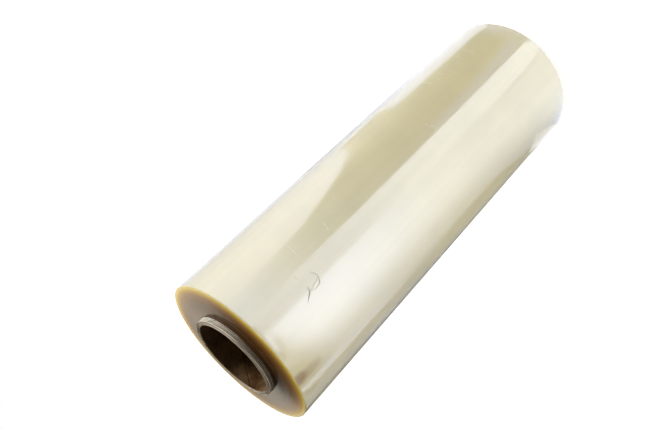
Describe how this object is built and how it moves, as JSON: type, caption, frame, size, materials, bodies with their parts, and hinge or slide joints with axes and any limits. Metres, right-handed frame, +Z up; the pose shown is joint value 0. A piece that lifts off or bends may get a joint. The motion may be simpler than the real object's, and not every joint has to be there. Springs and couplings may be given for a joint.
{
  "type": "roll of cheese wrap film",
  "caption": "Roll of clear stretch wrapping film wound tightly on a spiral-wound cardboard tube core, whose ends stand a little proud of the film.",
  "frame": {"origin": "centre of the core's lower end, on the surface that the roll stands on", "axes": "+Z up along the roll's axis; every direction across it is alike"},
  "size_m": [0.151, 0.151, 0.444],
  "materials": {
    "core_board": "matte grey-brown spiral-wound board",
    "film": "glossy clear film, straw coloured through its many turns"
  },
  "bodies": {
    "root": {"core": "core_board", "film_roll": "film"}
  },
  "joints": []
}
